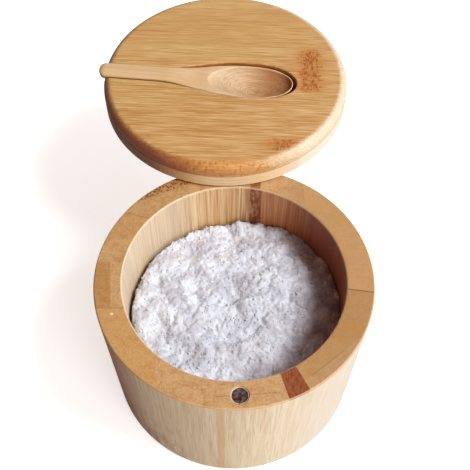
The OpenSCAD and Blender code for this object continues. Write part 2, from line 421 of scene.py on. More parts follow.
def lid_low_material():
    s = Shader("bamboo_lid_low", spec=0.4, coat=0.25)
    s.b.inputs["Sheen Weight"].default_value = 0.25
    ry = s.m("SUBTRACT", s.y, LID_CY)
    broad, mid, fine, dots = grain(s, s.x, ry, s.z, 11.3, wander=0.12)
    c = s.mix(s.ramp(mid, 0.30, 0.72), lin(230, 196, 150), lin(246, 220, 180))
    c = s.mix(s.ramp(broad, 0.35, 0.65, 0.0, 0.4), c, lin(226, 190, 142))
    c = s.mix(s.mul(dots, 0.28), c, lin(182, 134, 82))
    c = s.mix(s.ramp(fine, 0.45, 0.7, 0.0, 0.3), c, lin(242, 216, 176))
    # painted highlight: paler and less saturated towards the lit right side
    c = s.mix(s.ramp(s.x, 6.0, 34.0, 0.0, 0.80), c, lin(226, 218, 204))
    # painted shade: darker and red-brown towards the left side, away from the light
    c = s.mix(s.ramp(s.x, -8.0, -31.0, 0.0, 0.85), c, lin(132, 76, 56))
    row = s.m("FLOOR", s.m("DIVIDE", s.m("ADD", ry, 38.0), 19.0))
    c = s.mix(s.ramp(s.white(s.xyz(row, 8.0, 0.0)), 0.0, 1.0, 0.0, 0.25, "LINEAR"), c, lin(204, 156, 98))
    rough = s.ramp(fine, 0.3, 0.7, 0.45, 0.62)
    h = s.m("ADD", s.m("MULTIPLY", mid, 0.6), s.m("ADD", s.m("MULTIPLY", fine, 0.5), s.m("MULTIPLY", dots, -0.5)))
    return s.finish(c, rough, s.bump(h, 0.00004, 0.5))


def wall_material():
    s = Shader("bamboo_box", spec=0.35, coat=0.2)
    s.b.inputs["Sheen Weight"].default_value = 0.2
    broad, mid, fine, dots = grain(s, s.z, s.x, s.y, 5.1, wander=0.06)
    rr = s.m("SQRT", s.m("ADD", s.m("MULTIPLY", s.x, s.x), s.m("MULTIPLY", s.y, s.y)))
    # outside: pale, with fine upright streaks
    c = s.mix(s.ramp(mid, 0.30, 0.70), lin(220, 194, 156), lin(240, 224, 190))
    c = s.mix(s.ramp(broad, 0.38, 0.62, 0.0, 0.40), c, lin(222, 192, 148))
    c = s.mix(s.mul(dots, 0.42), c, lin(184, 142, 94))
    c = s.mix(s.ramp(fine, 0.45, 0.72, 0.0, 0.50), c, lin(242, 228, 198))
    thread = s.noise(s.xyz(s.m("MULTIPLY", s.x, 2.6), s.m("MULTIPLY", s.y, 2.6), s.m("MULTIPLY", s.z, 0.03)), 1.0, 2.0, 0.6)
    c = s.mix(s.ramp(thread, 0.58, 0.68, 0.0, 0.45), c, lin(188, 146, 100))
    # painted highlight: paler and greyer towards the lit right side
    c = s.mix(s.ramp(s.x, 4.0, 34.0, 0.0, 0.70), c, lin(210, 200, 186))
    # painted shade: a redder, blotchy stretch low on the front left, on the side away from the light
    shade_blotch = s.noise(s.xyz(s.m("MULTIPLY", s.x, 0.30), s.m("MULTIPLY", s.y, 0.30), s.m("MULTIPLY", s.z, 0.12)), 1.0, 3.0, 0.65)
    low_left_shade = s.mul(s.ramp(s.x, -16.0, -24.0), s.ramp(s.z, 40.0, 8.0), s.ramp(shade_blotch, 0.42, 0.62))
    c = s.mix(s.mul(low_left_shade, 0.60), c, lin(186, 128, 86))
    strip = s.mul(s.box(s.x, -7.2, -4.8, 0.3), s.ramp(s.y, -20, -19, 1.0, 0.0))
    c = s.mix(s.mul(strip, 0.60), c, lin(214, 170, 104))
    # painted shade: darker and redder towards the left side, away from the light
    c = s.mix(s.ramp(s.x, -26.0, -41.0, 0.0, 0.65), c, lin(172, 118, 92))
    # inside: warmer, the streaks stronger, redder to the right of the dark strip; a painted highlight makes the lit
    # left side paler, and painted shade darkens the right side further
    i = s.mix(s.ramp(mid, 0.34, 0.64), lin(170, 118, 70), lin(226, 196, 152))
    i = s.mix(s.ramp(broad, 0.40, 0.60, 0.0, 0.5), i, lin(212, 168, 114))
    i = s.mix(s.mul(dots, 0.50), i, lin(146, 92, 50))
    i = s.mix(s.ramp(fine, 0.45, 0.72, 0.0, 0.4), i, lin(244, 218, 176))
    # painted highlight: paler and less saturated on the lit left side
    i = s.mix(s.mul(s.ramp(s.x, -8.0, -22.0), 0.60), i, lin(200, 188, 166))
    i = s.mix(s.mul(s.ramp(s.x, 6.0, 14.0), 0.55), i, lin(178, 98, 52))
    # painted shade: darker and redder towards the right, which lies in shadow
    i = s.mix(s.mul(s.ramp(s.x, 16.0, 30.0), 0.65), i, lin(128, 60, 32))
    inner = s.ramp(rr, 37.2, 38.0, 1.0, 0.0)
    c = s.mix(inner, c, i)
    # the dark strip at the back runs down the inside of the wall
    back = s.mul(s.box(s.x, 6.9, 11.0, 0.25), s.ramp(s.y, 20, 21))
    blotch = s.noise(s.xyz(s.m("MULTIPLY", s.x, 0.9), s.m("MULTIPLY", s.y, 0.9), s.m("MULTIPLY", s.z, 0.30)), 1.0, 3.0, 0.6)
    c = s.mix(s.mul(back, s.ramp(blotch, 0.35, 0.60, 0.55, 1.0)), c, lin(132, 70, 34))
    # rim and foot: end grain, darker, with pores and patches where the blocks meet
    pores = s.cells(s.xyz(s.m("MULTIPLY", s.x, 2.4), s.m("MULTIPLY", s.y, 2.4), s.m("MULTIPLY", s.z, 0.1)), 1.0)
    pore = s.ramp(pores, 0.10, 0.36, 1.0, 0.0)
    cloud = s.noise(s.xyz(s.m("MULTIPLY", s.x, 0.16), s.m("MULTIPLY", s.y, 0.16), 2.0), 1.0, 4.0, 0.62)
    grit = s.noise(s.p, 1.5, 3.0, 0.75)
    blot = s.noise(s.xyz(s.x, s.y, 7.0), 0.45, 3.0, 0.6)
    e = s.mix(s.ramp(cloud, 0.30, 0.70), lin(178, 136, 90), lin(190, 150, 106))
    e = s.mix(s.ramp(blot, 0.36, 0.62, 0.0, 0.45), e, lin(202, 168, 126))
    e = s.mix(s.ramp(blot, 0.30, 0.44, 0.40, 0.0), e, lin(172, 124, 74))
    e = s.mix(s.mul(pore, 0.36), e, lin(146, 98, 54))
    e = s.mix(s.ramp(grit, 0.50, 0.68, 0.0, 0.50), e, lin(214, 178, 130))
    e = s.mix(s.ramp(grit, 0.32, 0.48, 0.50, 0.0), e, lin(156, 106, 60))

    def patch(mask, colour, amount):
        nonlocal e
        e = s.mix(s.mul(mask, amount), e, colour)

    left, right = s.ramp(s.x, -25, -24, 1.0, 0.0), s.ramp(s.x, 25, 26)
    patch(s.ramp(s.x, 8.0, 28.0), lin(158, 126, 90), 0.55)
    # blocks on the left, above and below the seam at y -10
    patch(s.mul(left, s.side(-34.8, -10.3, -43.5, -10.0)), lin(196, 146, 86), 0.35)
    patch(s.mul(left, s.side(-39.0, -9.8, -40.0, 6.8), s.ramp(s.y, 6.6, 7.4, 1.0, 0.0), s.ramp(s.y, -10.1, -9.8)), lin(160, 112, 62), 0.45)
    # the block right of the thin seam, and its neighbours
    patch(s.mul(s.side(35.7, -6.2, 44.5, -7.9), right), lin(196, 150, 96), 0.35)
    patch(s.mul(s.m("SUBTRACT", 1.0, s.side(35.7, -6.2, 44.5, -7.9)), right, s.ramp(s.y, -24.0, -23.0)), lin(164, 116, 64), 0.30)
    patch(s.mul(s.side(-26.8, 23.5, -35.0, 26.3), s.ramp(s.x, -20, -19, 1.0, 0.0), s.ramp(s.y, 15, 16)), lin(182, 136, 82), 0.30)
    # speckled patch at the back left
    p = s.mul(s.side(-29.0, 32.0, -14.6, 38.0, 0.4), s.ramp(s.x, -33.5, -31.5), s.ramp(s.x, -13.5, -12.0, 1.0, 0.0))
    patch(p, lin(168, 116, 64), 0.40)
    spot = s.cells(s.xyz(s.m("MULTIPLY", s.x, 1.35), s.m("MULTIPLY", s.y, 1.05), 0.5), 1.0)
    patch(s.mul(p, s.ramp(spot, 0.36, 0.56, 1.0, 0.0)), lin(108, 62, 32), 0.80)
    # dark strip at the front right and the one at the back
    q1 = s.m("SUBTRACT", 1.0, s.side(14.6, -43.2, 12.2, -34.2, 0.12))
    q2 = s.m("SUBTRACT", 1.0, s.side(17.1, -32.2, 21.5, -41.4, 0.12))
    q = s.mul(q1, q2, s.ramp(s.y, -20, -19, 1.0, 0.0))
    fibre = s.noise(s.xyz(s.m("MULTIPLY", s.x, 1.9), s.m("MULTIPLY", s.y, 0.45), 3.0), 1.0, 3.0, 0.7)
    patch(q, s.mix(s.ramp(fibre, 0.36, 0.62), lin(108, 52, 26), lin(146, 82, 46)), 0.92)
    patch(s.mul(s.box(s.m("SUBTRACT", s.x, s.m("MULTIPLY", s.m("SUBTRACT", s.y, 35.0), 0.2)), 6.9, 10.4, 0.3), s.ramp(s.y, 20, 21)),
          s.mix(s.ramp(grit, 0.4, 0.6), lin(104, 54, 24), lin(160, 100, 54)), 0.85)
    patch(s.line(35.7, -6.2, 44.8, -7.9, 0.08, 0.28), lin(104, 62, 30), 0.60)
    patch(s.line(-35.0, 26.3, -26.6, 23.4, 0.08, 0.3), lin(140, 92, 50), 0.40)
    patch(s.line(-44.5, -10.0, -34.9, -10.3, 0.08, 0.25), lin(140, 94, 52), 0.40)
    patch(s.line(-7.2, -40.8, 11.1, -40.2, 0.06, 0.2), lin(132, 88, 48), 0.50)
    patch(s.line(21.6, -35.2, 32.0, -27.5, 0.06, 0.25), lin(142, 94, 50), 0.50)
    patch(s.mul(s.side(21.6, -35.2, 32.0, -27.5, 0.15), s.side(17.1, -32.2, 20.6, -39.5), s.ramp(s.y, -18, -17, 1.0, 0.0)), lin(170, 122, 70), 0.35)
    patch(s.line(-38.9, -12.3, -38.1, -12.3, 0.25, 0.3), lin(240, 226, 200), 0.8)
    start = s.ramp(rr, 36.6, 38.0, 0.45, 0.0)
    top = s.m("MAXIMUM", s.ramp(s.m("SUBTRACT", s.z, start), 59.30, 59.55), s.ramp(s.z, 0.1, 0.5, 1.0, 0.0))
    c = s.mix(top, c, e)
    # painted highlight: a paler line along the rounded outer and inner edges of the rim
    lip = s.mul(s.ramp(s.z, 59.2, 59.5), s.m("MAXIMUM", s.ramp(rr, 44.45, 44.75), s.ramp(rr, 36.25, 36.5, 1.0, 0.0)))
    c = s.mix(s.mul(lip, 0.40), c, s.mix(inner, lin(226, 188, 134), lin(232, 212, 180)))
    rough = s.ramp(fine, 0.3, 0.7, 0.50, 0.66)
    h1 = s.m("ADD", s.m("MULTIPLY", mid, 0.6), s.m("ADD", s.m("MULTIPLY", fine, 0.5), s.m("MULTIPLY", dots, -0.4)))
    h2 = s.m("SUBTRACT", s.m("MULTIPLY", grit, 0.7), s.m("MULTIPLY", pore, 0.8))
    h = s.m("ADD", s.m("MULTIPLY", h1, s.m("SUBTRACT", 1.0, top)), s.m("MULTIPLY", h2, top))
    return s.finish(c, rough, s.bump(h, 0.00004, 0.5))


def base_material():
    s = Shader("bamboo_base", spec=0.3)
    broad, mid, fine, dots = grain(s, s.y, s.x, s.z, 21.0)
    c = s.mix(s.ramp(mid, 0.3, 0.7), lin(196, 150, 94), lin(224, 184, 132))
    c = s.mix(s.mul(dots, 0.4), c, lin(150, 104, 58))
    row = s.m("FLOOR", s.m("DIVIDE", s.m("ADD", s.x, 60.0), 15.0))
    c = s.mix(s.ramp(s.white(s.xyz(row, 5.0, 0.0)), 0.0, 1.0, 0.0, 0.4, "LINEAR"), c, lin(184, 132, 76))
    seam = s.m("ABSOLUTE", s.m("SUBTRACT", s.m("FRACT", s.m("DIVIDE", s.m("ADD", s.x, 60.0), 15.0)), 0.5))
    c = s.mix(s.ramp(seam, 0.488, 0.497, 0.0, 0.6), c, lin(120, 78, 40))
    h = s.m("ADD", s.m("MULTIPLY", mid, 0.6), s.m("MULTIPLY", fine, 0.6))
    return s.finish(c, s.ramp(fine, 0.3, 0.7, 0.5, 0.68), s.bump(h, 0.00005, 0.6))


def spoon_material():
    s = Shader("bamboo_spoon", spec=0.35)
    ca, sa = math.cos(SPOON_TURN), math.sin(SPOON_TURN)
    px, py = s.m("SUBTRACT", s.x, BOWL_AT[0]), s.m("SUBTRACT", s.y, BOWL_AT[1])
    u = s.m("ADD", s.m("MULTIPLY", px, ca), s.m("MULTIPLY", py, sa))
    v = s.m("SUBTRACT", s.m("MULTIPLY", py, ca), s.m("MULTIPLY", px, sa))
    w = s.m("SUBTRACT", s.z, LID_TOP)
    broad, mid, fine, dots = grain(s, u, v, w, 31.0, wander=0.08)
    c = s.mix(s.ramp(mid, 0.3, 0.7), lin(205, 173, 133), lin(224, 199, 164))
    c = s.mix(s.ramp(broad, 0.35, 0.65, 0.0, 0.35), c, lin(208, 170, 122))
    # layers cut through by the hollow show as fine contour lines
    rings = s.noise(s.xyz(s.m("MULTIPLY", u, 0.16), s.m("MULTIPLY", v, 0.40), s.m("MULTIPLY", w, 7.5)), 1.0, 4.0, 0.75, 0.3)
    bowl = s.mul(s.ramp(u, -15.0, -9.0), s.ramp(w, -0.9, -0.5, 1.0, 0.0))
    c = s.mix(s.mul(s.box(u, -36.0, -15.4, 6.0), s.ramp(u, -15.0, -15.6), 0.28), c, lin(198, 156, 106))
    # painted shade: the deep right end of the hollow darkened brown
    deep = s.mul(bowl, s.ramp(u, -6.0, 8.0))
    c = s.mix(s.mul(s.ramp(u, -15.6, -14.9), s.ramp(w, -0.75, -0.5, 1.0, 0.0), s.ramp(u, -6.0, 2.0, 1.0, 0.0), 0.60), c, lin(190, 166, 136))
    c = s.mix(s.mul(deep, 0.62), c, lin(168, 112, 76))
    c = s.mix(s.mul(bowl, s.ramp(rings, 0.46, 0.58), 0.42), c, lin(150, 96, 60))
    c = s.mix(s.mul(dots, 0.22), c, lin(180, 128, 76))
    # the turned end of the handle is a little darker
    c = s.mix(s.ramp(u, -55.5, -53.5, 0.45, 0.0), c, lin(160, 112, 66))
    rough = s.ramp(fine, 0.3, 0.7, 0.44, 0.58)
    h = s.m("ADD", s.m("MULTIPLY", mid, 0.5), s.m("ADD", s.m("MULTIPLY", fine, 0.6), s.m("MULTIPLY", s.mul(bowl, rings), 0.8)))
    return s.finish(c, rough, s.bump(h, 0.00004, 0.5))


def salt_material():
    s = Shader("salt", spec=0.25)
    n = s.noise(s.p, 0.15, 4.0, 0.60)
    f = s.noise(s.p, 1.2, 2.0, 0.6)
    c = s.mix(s.ramp(n, 0.38, 0.60), lin(198, 201, 212), lin(225, 231, 241))
    c = s.mix(s.ramp(f, 0.34, 0.56, 0.10, 0.0), c, lin(200, 201, 213))
    rough = s.ramp(f, 0.3, 0.7, 0.60, 0.9)
    return s.finish(c, rough, s.bump(s.noise(s.p, 2.6, 2.0, 0.6), 0.00004, 0.3))


def metal_material(name, dark, light, rough0, rough1, scratch=6.0, metallic=1.0):
    s = Shader(name)
    s.b.inputs["Metallic"].default_value = metallic
    n = s.noise(s.p, 0.9, 3.0, 0.6)
    f = s.noise(s.xyz(s.m("MULTIPLY", s.x, 0.6), s.m("MULTIPLY", s.y, scratch), s.m("MULTIPLY", s.z, 1.5)), 1.0, 3.0, 0.7)
    c = s.mix(s.ramp(n, 0.3, 0.7), dark, light)
    c = s.mix(s.ramp(f, 0.55, 0.75, 0.0, 0.5), c, light)
    return s.finish(c, s.ramp(n, 0.3, 0.7, rough0, rough1), s.bump(f, 0.00001, 0.4))


def glue_material():
    s = Shader("glue_ring", spec=0.5)
    s.b.inputs["Coat Weight"].default_value = 0.4
    s.b.inputs["Coat Roughness"].default_value = 0.15
    n = s.noise(s.p, 1.8, 3.0, 0.6)
    c = s.mix(s.ramp(n, 0.35, 0.65), lin(196, 178, 150), lin(244, 240, 232))
    return s.finish(c, s.ramp(n, 0.3, 0.7, 0.2, 0.5), s.bump(n, 0.00006, 0.7))


def floor_material():
    s = Shader("floor", spec=0.2)
    n = s.noise(s.p, 0.02, 3.0, 0.5)
    f = s.noise(s.p, 0.8, 2.0, 0.5)
    c = s.mix(s.ramp(n, 0.3, 0.7), (0.90, 0.90, 0.90, 1), (0.93, 0.93, 0.93, 1))
    s.b.inputs["Emission Color"].default_value = (1.0, 0.985, 0.97, 1)
    ray = s.t.nodes.new("ShaderNodeLightPath")
    s.put(s.b.inputs["Emission Strength"], s.ramp(ray.outputs["Is Camera Ray"], 0.0, 1.0, 0.03, 0.66, "LINEAR"))
    c = s.mix(ray.outputs["Is Camera Ray"], (0.40, 0.38, 0.37, 1), c)
    return s.finish(c, s.ramp(f, 0.3, 0.7, 0.7, 0.85), s.bump(f, 0.00002, 0.2))


def paint(ob, mat):
    ob.data.materials.clear()
    ob.data.materials.append(mat)


# ---------------------------------------------------------------- box
def build_wall():
    prof = [(R_IN, BASE_T), (BASE_R, BASE_T), (BASE_R, 0.3), (BASE_R + 0.3, 0.0)]
    prof += arc(R_FOOT - FOOT_ROUND, FOOT_ROUND, FOOT_ROUND, -90, 0, 12)
    prof += [(R_FOOT + 0.3, 15.0), (R_FOOT + 0.6, 30.0), (R_FOOT + 0.9, 45.0)]
    prof += arc(R_OUT - RIM_ROUND, BOX_H - RIM_ROUND, RIM_ROUND, 1, 90, 7)
    prof += [(42.6, BOX_H), (40.5, BOX_H), (38.4, BOX_H)]
    prof += arc(R_IN + RIM_ROUND, BOX_H - RIM_ROUND, RIM_ROUND, 90, 180, 7)
    prof += [(R_IN, 50.0), (R_IN, 40.0), (R_IN, 23.0)]
    ob = lathe("wall_body", prof, keep=True)
    hole = lathe("hole_a", [(0, 56.7), (2.7, 56.7), (2.7, 59.75), (2.95, 60.0), (2.95, 62), (0, 62)], (0, -R_PIN), 64)
    hole2 = lathe("hole_b", [(0, 40), (2.0, 40), (2.0, 62), (0, 62)], (0, R_PIN), 48)
    cut(ob, hole)
    cut(ob, hole2)
    drop(hole, hole2)
    crisp(ob)
    paint(ob, wall_material())
    return ob


def build_base():
    prof = [(0, 0.0)] + [(r, 0.0) for r in (10, 20, 30, 38.5)] + [(38.85, 0.15), (BASE_R - 0.02, 0.5), (BASE_R - 0.02, BASE_T), (20, BASE_T), (0, BASE_T)]
    ob = lathe("base_disc", prof)
    crisp(ob)
    paint(ob, base_material())
    return ob


# ---------------------------------------------------------------- lid
def half_w(u):
    if u < TIP + HW:
        return HW * max(0.0, 1 - ((TIP + HW - u) / HW) ** 2.6) ** (1 / 2.6)
    if u < 0:
        return HW + (BW - HW) * smooth((u + 35) / 32)
    return BW * math.sqrt(max(0.0, 1 - (u / BL) ** 2.3)) if u < BL else 0.0


def room(u):
    return smooth((u + 30) / 22)


def pocket_side(u, gap, end, grow):
    if u < 0:
        return half_w(max(u, TIP + HW)) + gap * room(u) + 0.35 + grow
    return (BW + gap + 0.35 + grow) * math.sqrt(max(0.0, 1 - (u / end) ** 2.3))


def to_lid(u, v, w):
    c, s_ = math.cos(SPOON_TURN), math.sin(SPOON_TURN)
    return (BOWL_AT[0] + u * c - v * s_, BOWL_AT[1] + u * s_ + v * c, BOWL_AT[2] + w)


def pocket_cutter():
    """The space cut out of the lid: rounded rim, upright sides, a fillet along the floor, deeper under the bowl."""
    edge_r, fillet = 0.55, 0.9
    levels = []
    for i in range(7):  # the flare that rounds the rim
        a = math.radians(90 * i / 6)
        levels.append(("top", edge_r - edge_r * math.sin(a), -(edge_r - edge_r * math.cos(a))))
    levels.insert(0, ("above", edge_r, 4.0))
    for i in range(6):
        a = math.radians(90 * i / 5)
        levels.append(("floor", -(fillet - fillet * math.cos(a)), fillet - fillet * math.sin(a)))
    n = 150
    start = TIP - 8
    verts, faces = [], []
    loops = []
    for kind, grow, z in levels:
        end = BL + 1.3 + grow
        loop = []
        us = [start + (end - start) * math.sin(math.radians(90 * i / n)) for i in range(n + 1)]
        for side, gap in ((1, 1.0), (-1, -0.05)):
            seq = us if side == 1 else us[::-1]
            for u in seq:
                depth = -3.5 - 3.9 * smooth((u + 22) / 5)
                zz = depth + z if kind == "floor" else z
                v = side * max(0.02, pocket_side(u, gap, end, grow))
                loop.append(len(verts))
                verts.append(to_lid(u, v, zz))
        loops.append(loop)
    m = len(loops[0])
    for a, b in zip(loops, loops[1:]):
        for i in range(m):
            j = (i + 1) % m
            faces.append((a[i], b[i], b[j]))
            faces.append((a[i], b[j], a[j]))
    for loop, flip in ((loops[0], False), (loops[-1], True)):
        for i in range(n):
            q = (loop[i], loop[i + 1], loop[m - 2 - i], loop[m - 1 - i])
            for t in ((q[0], q[1], q[2]), (q[0], q[2], q[3])):
                faces.append(t if not flip else t[::-1])
    ob = make("pocket", verts, faces)
    tidy(ob, 1e-6)
    return ob


def build_lid():
    cutter = pocket_cutter()
    prof = [(0, GLUE_Z)] + [(r, GLUE_Z) for r in (20, 35, 44.7)] + [(44.93, GLUE_Z + 0.10)]
    prof += [(R_OUT, GLUE_Z + 0.25)]
    prof += arc(R_OUT - LID_ROUND, LID_TOP - LID_ROUND, LID_ROUND, 0, 90, 20)
    prof += [(r, LID_TOP) for r in (38, 30, 22, 12)] + [(0, LID_TOP)]
    top = lathe("lid_upper", prof, (0, LID_CY))
    cut(top, cutter)
    crisp(top)
    paint(top, lid_top_material())
    prof = [(0, LID_Z)] + [(r, LID_Z) for r in (12, 24, 35, 42)] + arc(44.4, LID_Z + 0.6, 0.6, -90, 0, 6)
    prof += [(R_OUT, LID_Z + 2.5), (R_OUT, GLUE_Z - 0.12), (44.75, GLUE_Z), (35, GLUE_Z), (20, GLUE_Z), (0, GLUE_Z)]
    low = lathe("lid_lower", prof, (0, LID_CY))
    cut(low, cutter)
    hole = lathe("hole_c", [(0, 58), (3.5, 58), (3.5, 67), (0, 67)], (0, R_PIN), 64)
    cut(low, hole)
    hole2 = lathe("hole_d", [(0, 58), (2.95, 58), (2.95, 60.4), (2.7, 60.65), (2.7, 63.7), (0, 63.7)], (0, LID_CY + R_PIN), 64)
    cut(low, hole2)
    drop(cutter, hole, hole2)
    crisp(low)
    paint(low, lid_low_material())
    return top, low


# ---------------------------------------------------------------- spoon
def build_spoon():
    nu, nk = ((300, 96))
    ah_l, ah_r, bh, deep = 15.6, 15.25, 7.75, 5.4

    def top_z(u):
        t = smooth((u + 34) / 16)
        return 0.45 * (1 - t) - 0.35 * t

    def low_z(u):
        return -3.2 - 3.8 * smooth((u + 18) / 12)

    def rise(u):
        if u > 0:
            return math.sqrt(max(0.0, 1 - (u / BL) ** 2.6))
        if u < TIP + 1.8:
            return math.sqrt(max(0.0, 1 - ((TIP + 1.8 - u) / 1.8) ** 2))
        return 1.0

    def hollow(u, v):
        a = ah_r if u > 0 else ah_l
        p = 2.3 if u > 0 else 2.0
        wide = bh if u > 0 else bh * (1 - 0.10 * smooth(-u / 15))
        r2 = (abs(u) / a) ** p + (v / wide) ** 2
        if r2 >= 1:
            return 0.0
        # steep near the rim, and shallower towards the neck
        return deep * (1 - r2) ** 0.62 * (1 - 0.45 * smooth(-u / 14))

    verts, faces = [], []
    for i in range(nu + 1):
        t = i / nu
        u = TIP + 0.01 + (SPOON_L - 0.02) * (0.5 - 0.5 * math.cos(math.pi * t))
        w = half_w(u)
        zt = top_z(u)
        e = rise(u)
        zl = zt + (low_z(u) - zt) * e
        crown = 0.5 * (1 - smooth((u + 30) / 12)) * e
        lip = min(0.22, 0.22 * w / 2) * e
        for k in range(nk):
            a = 2 * math.pi * k / nk
            s_, c_ = math.sin(a), math.cos(a)
            if s_ >= 0:
                # top side, spread evenly across the width
                x = 1 - 2 * (a / math.pi)
                v = w * x
                edge = max(0.0, (abs(x) - (1 - 0.55 / max(w, 0.6))) / (0.55 / max(w, 0.6)))
                z = zt + crown * math.sqrt(max(0.0, 1 - x * x)) - lip * (1 - math.sqrt(max(0.0, 1 - edge * edge)))
                z -= hollow(u, v)
            else:
                v = w * c_
                z = (zt - lip) + ((zt - lip) - zl) * s_ if zl < zt - lip else zt - lip
            verts.append(to_lid(u, v, z))
    for i in range(nu):
        for k in range(nk):
            m = (k + 1) % nk
            faces.append((i * nk + k, (i + 1) * nk + k, (i + 1) * nk + m, i * nk + m))
    faces.append(tuple(range(nk)))
    faces.append(tuple(range(nu * nk + nk - 1, nu * nk - 1, -1)))
    ob = make("spoon_body", verts, faces)
    tidy(ob, 1e-8)
    for p in ob.data.polygons:
        p.use_smooth = True
    paint(ob, spoon_material())
    return ob


# ---------------------------------------------------------------- salt
LUMPS = [Clumps(k) for k in (41, 42, 43, 44)]
WAVES = [Lattice(k) for k in (11, 12, 13, 14)]


def salt_height(x, y):
    r = np.hypot(x, y)
    th = np.arctan2(y, x)
    n1, n2, n3, n4 = WAVES
    edge = 40.4 + 0.9 * np.sin(2.0 * th + 0.6) * 0.5 + 1.0 * np.exp(-((th - 0.25) / 0.5) ** 2)
    h = edge + 1.9 * (1 - (r / 36.0) ** 2)
    # a slow swell bends the lumps, so they don't sit in rows
    wx, wy = x + 3.0 * (n1(x, y, 7.0) - 0.5), y + 3.0 * (n2(x, y, 7.0) - 0.5)
    h = h + 2.4 * (n1(x, y, 9.0) - 0.5)
    h = h + 2.0 * LUMPS[0](wx, wy, 6.8) + 1.1 * LUMPS[1](wx, wy, 3.1) + 0.38 * LUMPS[2](wx, wy, 1.4)
    h = h + 0.42 * (n4(x, y, 0.8) - 0.5) - 1.8
    # crumbly line where it meets the wall, lower on the left and at the back
    far = np.clip((r - 31.5) / 4.4, 0, 1) ** 2
    h = h - 3.2 * np.exp(-((np.abs(th) - 2.95) / 0.50) ** 2) * far
    back = np.exp(-((th - 2.0) / 0.85) ** 2)
    h = h + back * np.clip((r - 33.0) / 2.9, 0, 1) * (2.6 * (n3(x, y, 1.5) - 0.62) + 1.6 * (n4(x, y, 0.8) - 0.5))
    # it has pulled away from the wall on the left and at the back
    away = np.clip(np.cos(th - 2.88) + 0.35, 0, 1)
    h = h - 3.4 * away * np.clip((r - 34.3 - 1.3 * (n3(x, y, 2.0) - 0.5)) / 1.1, 0, 1)
    # a little peak against the back wall
    h = h + 1.9 * np.exp(-(((x - 3.0) / 2.6) ** 2 + ((y - 33.5) / 2.6) ** 2))
    return h


def build_salt():
    rng = np.random.default_rng(2024)
    # an even square grid folded onto the disc, so that no direction is finer than another
    n = 216
    t = np.linspace(-1, 1, n + 1)
    gx, gy = np.meshgrid(t, t, indexing="ij")
    wide = np.abs(gx) > np.abs(gy)
    rad = np.where(wide, gx, gy)
    turn = np.where(wide, (math.pi / 4) * gy / np.where(gx == 0, 1, gx), math.pi / 2 - (math.pi / 4) * gx / np.where(gy == 0, 1, gy))
    x, y = 35.95 * rad * np.cos(turn), 35.95 * rad * np.sin(turn)
    h = salt_height(x, y)
    verts = list(zip(x.ravel().tolist(), y.ravel().tolist(), h.ravel().tolist()))
    m = n + 1
    faces = [(i * m + j, (i + 1) * m + j, (i + 1) * m + j + 1, i * m + j + 1) for i in range(n) for j in range(n)]
    rim = [i * m for i in range(n)] + [n * m + j for j in range(n)] + [i * m + n for i in range(n, 0, -1)] + [j for j in range(n, 0, -1)]
    low = len(verts)
    verts += [(verts[k][0], verts[k][1], 6.02) for k in rim]
    k = len(rim)
    faces += [(rim[(i + 1) % k], rim[i], low + i, low + (i + 1) % k) for i in range(k)]
    verts.append((0.0, 0.0, 6.02))
    faces += [(low + k, low + (i + 1) % k, low + i) for i in range(k)]
    # loose crumbs on the surface: small uneven lumps
    count = 4000
    rad = 35.2 * np.sqrt(rng.random(count))
    ang = rng.random(count) * 2 * math.pi
    cx, cy = rad * np.cos(ang), rad * np.sin(ang)
    size = np.clip(rng.lognormal(math.log(0.60), 0.36, count), 0.32, 1.25)
    reach = 35.85 - size * 0.62
    cx, cy = cx * np.minimum(1, reach / rad), cy * np.minimum(1, reach / rad)
    ch = salt_height(cx, cy) + size * rng.uniform(-0.15, 0.22, count)
    g = (1 + 5 ** 0.5) / 2
    ball = np.array([(-1, g, 0), (1, g, 0), (-1, -g, 0), (1, -g, 0), (0, -1, g), (0, 1, g), (0, -1, -g), (0, 1, -g), (g, 0, -1), (g, 0, 1), (-g, 0, -1), (-g, 0, 1)]) / math.hypot(1, g)
    tris = ((0, 11, 5), (0, 5, 1), (0, 1, 7), (0, 7, 10), (0, 10, 11), (1, 5, 9), (5, 11, 4), (11, 10, 2), (10, 7, 6), (7, 1, 8),
            (3, 9, 4), (3, 4, 2), (3, 2, 6), (3, 6, 8), (3, 8, 9), (4, 9, 5), (2, 4, 11), (6, 2, 10), (8, 6, 7), (9, 8, 1))
    for i in range(count):
        q = rng.normal(size=4)
        w_, x_, y_, z_ = q / np.linalg.norm(q)
        rot = np.array([[1 - 2 * (y_ * y_ + z_ * z_), 2 * (x_ * y_ - z_ * w_), 2 * (x_ * z_ + y_ * w_)],
                        [2 * (x_ * y_ + z_ * w_), 1 - 2 * (x_ * x_ + z_ * z_), 2 * (y_ * z_ - x_ * w_)],
                        [2 * (x_ * z_ - y_ * w_), 2 * (y_ * z_ + x_ * w_), 1 - 2 * (x_ * x_ + y_ * y_)]])
        half = size[i] * 0.5 * np.array([1.0, rng.uniform(0.7, 1.0), rng.uniform(0.5, 0.9)])
        pts = (ball * half * rng.uniform(0.72, 1.1, (12, 1))) @ rot.T + (cx[i], cy[i], ch[i])
        k = len(verts)
        verts += [tuple(p) for p in pts.tolist()]
        faces += [tuple(k + j for j in f) for f in tris]
    ob = make("salt_heap", verts, faces, smooth=False)
    n_heap = len(ob.data.polygons) - count * 20
    for p in ob.data.polygons:
        p.use_smooth = p.index < n_heap
    paint(ob, salt_material())
    return ob


